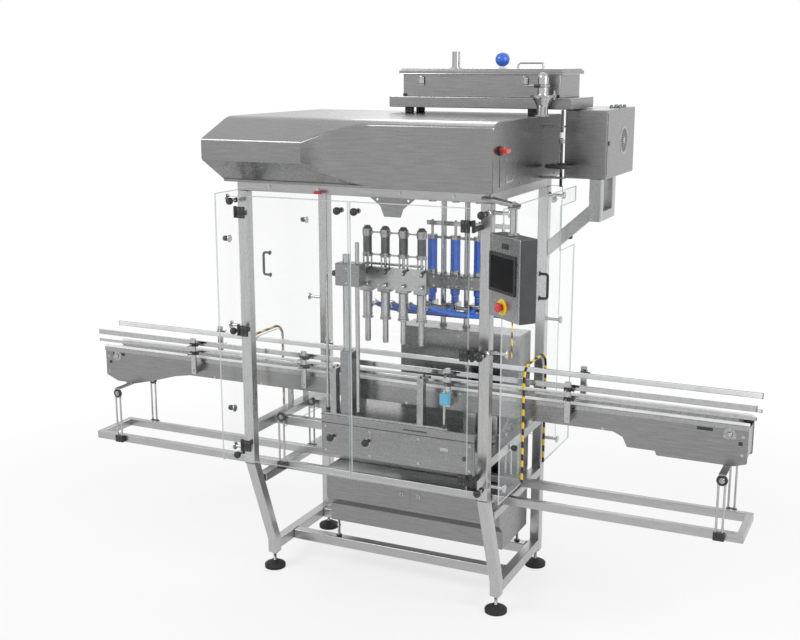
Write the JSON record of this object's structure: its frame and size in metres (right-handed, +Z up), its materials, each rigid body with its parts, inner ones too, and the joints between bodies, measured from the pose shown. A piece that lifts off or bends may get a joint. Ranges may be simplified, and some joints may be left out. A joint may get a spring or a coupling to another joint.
{
  "type": "inline filling machine",
  "caption": "Inline nozzle filling machine with guarded stainless frame, hopper, dosing cylinders, operator panel and slat conveyor.",
  "frame": {"origin": "floor level under the middle of the overall box", "axes": "+Z up, +X along the conveyor towards the drive end, -Y towards the operator"},
  "size_m": [3.4, 1.521, 2.5596],
  "materials": {
    "stainless": "brushed",
    "bright_steel": "polished",
    "cast_grey": "satin paint",
    "black_plastic": "satin",
    "clear_sheet": "clear",
    "blue_plastic": "satin",
    "blue_hose": "satin",
    "red_plastic": "satin"
  },
  "bodies": {
    "machine": {"front_upright_left": "stainless", "front_upright_right": "stainless", "rear_upright_left": "stainless", "rear_upright_right": "stainless", "base_frame": "stainless", "top_frame": "stainless", "hood": "stainless", "hopper_tray": "stainless", "hopper_tank": "stainless", "control_box": "stainless", "box_bracket": "stainless", "conveyor_frame": "stainless", "support_frame": "stainless", "table_housing": "stainless", "lower_cabinet": "stainless", "dosing_drive": "stainless", "dosing_frame": "stainless", "front_wear_strip": "stainless", "rear_wear_strip": "stainless", "feed_valve": "bright_steel", "slat_belt": "bright_steel", "conveyor_stand_1": "bright_steel", "conveyor_stand_2": "bright_steel", "conveyor_stand_3": "bright_steel", "conveyor_stand_4": "bright_steel", "lift_column": "bright_steel", "panel_arm": "bright_steel", "gear_motor": "cast_grey", "table_fittings": "black_plastic", "rear_guard": "clear_sheet", "dosing_cylinders": "blue_plastic", "valve_block": "blue_plastic", "product_hoses": "blue_hose"},
    "left_door": {"front_door_left": "clear_sheet"},
    "right_door": {"front_door_right": "clear_sheet"},
    "left_guard": {"side_guard_left": "clear_sheet"},
    "right_guard": {"side_guard_right": "clear_sheet"},
    "operator_panel": {"panel_box": "stainless"},
    "stop_cap": {"stop_button": "red_plastic"},
    "switch_knob": {"main_switch": "red_plastic"},
    "hand_valve": {"handwheel": "black_plastic"},
    "tank_lid": {"hopper_lid": "stainless"},
    "latches": {"lid_latch_left": "bright_steel", "lid_latch_right": "bright_steel"},
    "drive_sprockets": {"drive_shaft": "bright_steel"},
    "idler_sprockets": {"idler_shaft": "bright_steel"},
    "front_rails": {"front_guide_low": "stainless", "front_guide_high": "stainless"},
    "rear_rails": {"rear_guide_low": "stainless", "rear_guide_high": "stainless"},
    "carriage": {"nozzle_carriage": "stainless", "nozzle_1": "bright_steel", "nozzle_2": "bright_steel", "nozzle_3": "bright_steel", "nozzle_4": "bright_steel", "nozzle_cylinders": "stainless"},
    "shutoff": {"shutoff_rods": "bright_steel"},
    "pistons": {"dosing_pistons": "bright_steel"},
    "infeed_stop": {"infeed_gate": "bright_steel"},
    "outfeed_stop": {"outfeed_gate": "bright_steel"}
  },
  "joints": [
    {"name": "left_door_hinge", "type": "hinge", "parent": "machine", "child": "left_door", "pos_m": [-0.578, -0.552, 1.3], "axis": [0, 0, 1], "range_deg": [-100, 0]},
    {"name": "right_door_hinge", "type": "hinge", "parent": "machine", "child": "right_door", "pos_m": [0.578, -0.552, 1.3], "axis": [0, 0, 1], "range_deg": [0, 100]},
    {"name": "left_guard_lift_off", "type": "slide", "parent": "machine", "child": "left_guard", "axis": [-1, 0, 0], "range_m": [0, 0.08]},
    {"name": "right_guard_lift_off", "type": "slide", "parent": "machine", "child": "right_guard", "axis": [1, 0, 0], "range_m": [0, 0.08]},
    {"name": "panel_swivel", "type": "hinge", "parent": "machine", "child": "operator_panel", "pos_m": [0.789, -0.66, 1.838], "axis": [0, 0, 1], "range_deg": [-30, 40]},
    {"name": "stop_press", "type": "slide", "parent": "operator_panel", "child": "stop_cap", "axis": [0.6157, 0.788, 0], "range_m": [0, 0.006], "stiffness_N_per_m": 400},
    {"name": "switch_turn", "type": "hinge", "parent": "machine", "child": "switch_knob", "pos_m": [0.6583, -0.452, 2.153], "axis": [1, 0, 0], "range_deg": [0, 90]},
    {"name": "wheel_turn", "type": "hinge", "parent": "machine", "child": "hand_valve", "pos_m": [0.735, 0.125, 2.04], "axis": [0, 0, 1], "continuous": true},
    {"name": "lid_hinge", "type": "hinge", "parent": "machine", "child": "tank_lid", "pos_m": [0, 0.478, 2.4596], "axis": [-1, 0, 0], "range_deg": [0, 100]},
    {"name": "latch_flip", "type": "hinge", "parent": "machine", "child": "latches", "pos_m": [0, 0.1457, 2.4073], "axis": [1, 0, 0], "range_deg": [0, 85]},
    {"name": "drive_turn", "type": "hinge", "parent": "machine", "child": "drive_sprockets", "pos_m": [1.595, -0.09, 0.9815], "axis": [0, 1, 0], "continuous": true},
    {"name": "idler_turn", "type": "hinge", "parent": "machine", "child": "idler_sprockets", "pos_m": [-1.595, -0.09, 0.9815], "axis": [0, 1, 0], "continuous": true},
    {"name": "front_rail_set", "type": "slide", "parent": "machine", "child": "front_rails", "axis": [0, -1, 0], "range_m": [0, 0.02]},
    {"name": "rear_rail_set", "type": "slide", "parent": "machine", "child": "rear_rails", "axis": [0, 1, 0], "range_m": [0, 0.02]},
    {"name": "carriage_lift", "type": "slide", "parent": "machine", "child": "carriage", "axis": [0, 0, 1], "range_m": [-0.12, 0.04], "deforming": ["product_hoses"]},
    {"name": "shutoff_lift", "type": "slide", "parent": "carriage", "child": "shutoff", "axis": [0, 0, 1], "range_m": [0, 0.015]},
    {"name": "piston_stroke", "type": "slide", "parent": "machine", "child": "pistons", "axis": [0, 0, 1], "range_m": [-0.02, 0.085]},
    {"name": "infeed_stop_slide", "type": "slide", "parent": "machine", "child": "infeed_stop", "axis": [0, 1, 0], "range_m": [0, 0.055]},
    {"name": "outfeed_stop_slide", "type": "slide", "parent": "machine", "child": "outfeed_stop", "axis": [0, 1, 0], "range_m": [0, 0.055]}
  ],
  "couplings": [
    {"joint": "idler_turn", "follows": "drive_turn", "ratio": 1}
  ]
}
